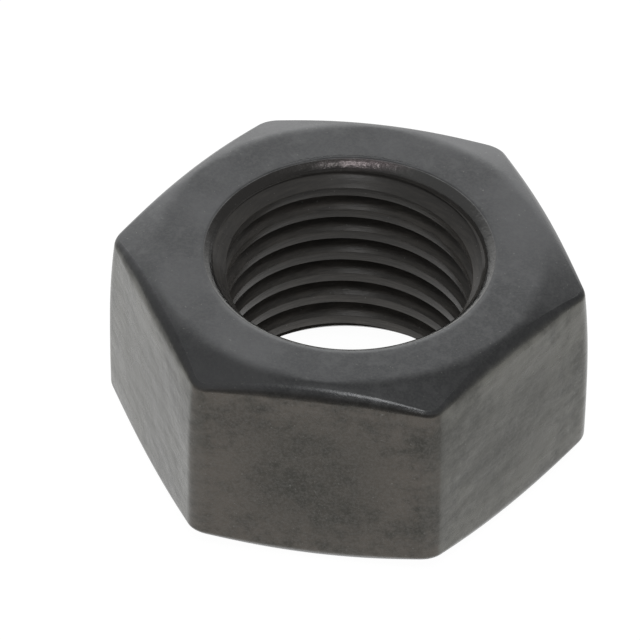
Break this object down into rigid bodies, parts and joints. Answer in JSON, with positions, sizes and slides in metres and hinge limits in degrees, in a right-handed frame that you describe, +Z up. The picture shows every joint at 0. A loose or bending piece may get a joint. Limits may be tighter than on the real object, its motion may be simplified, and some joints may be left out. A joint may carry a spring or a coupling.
{
  "type": "hex nut",
  "caption": "Plain hexagonal steel nut with chamfered corners on both faces and a countersunk fine-pitch metric thread.",
  "frame": {"origin": "centre of the lower bearing face, on the thread axis", "axes": "+Z up along the thread axis, +X square to one wrench flat, +Y through one corner"},
  "size_m": [0.0186, 0.0214, 0.0098],
  "materials": {
    "blackened_steel": "satin black heat-treated steel, unplated"
  },
  "bodies": {
    "root": {"hex_nut": "blackened_steel"}
  },
  "joints": []
}
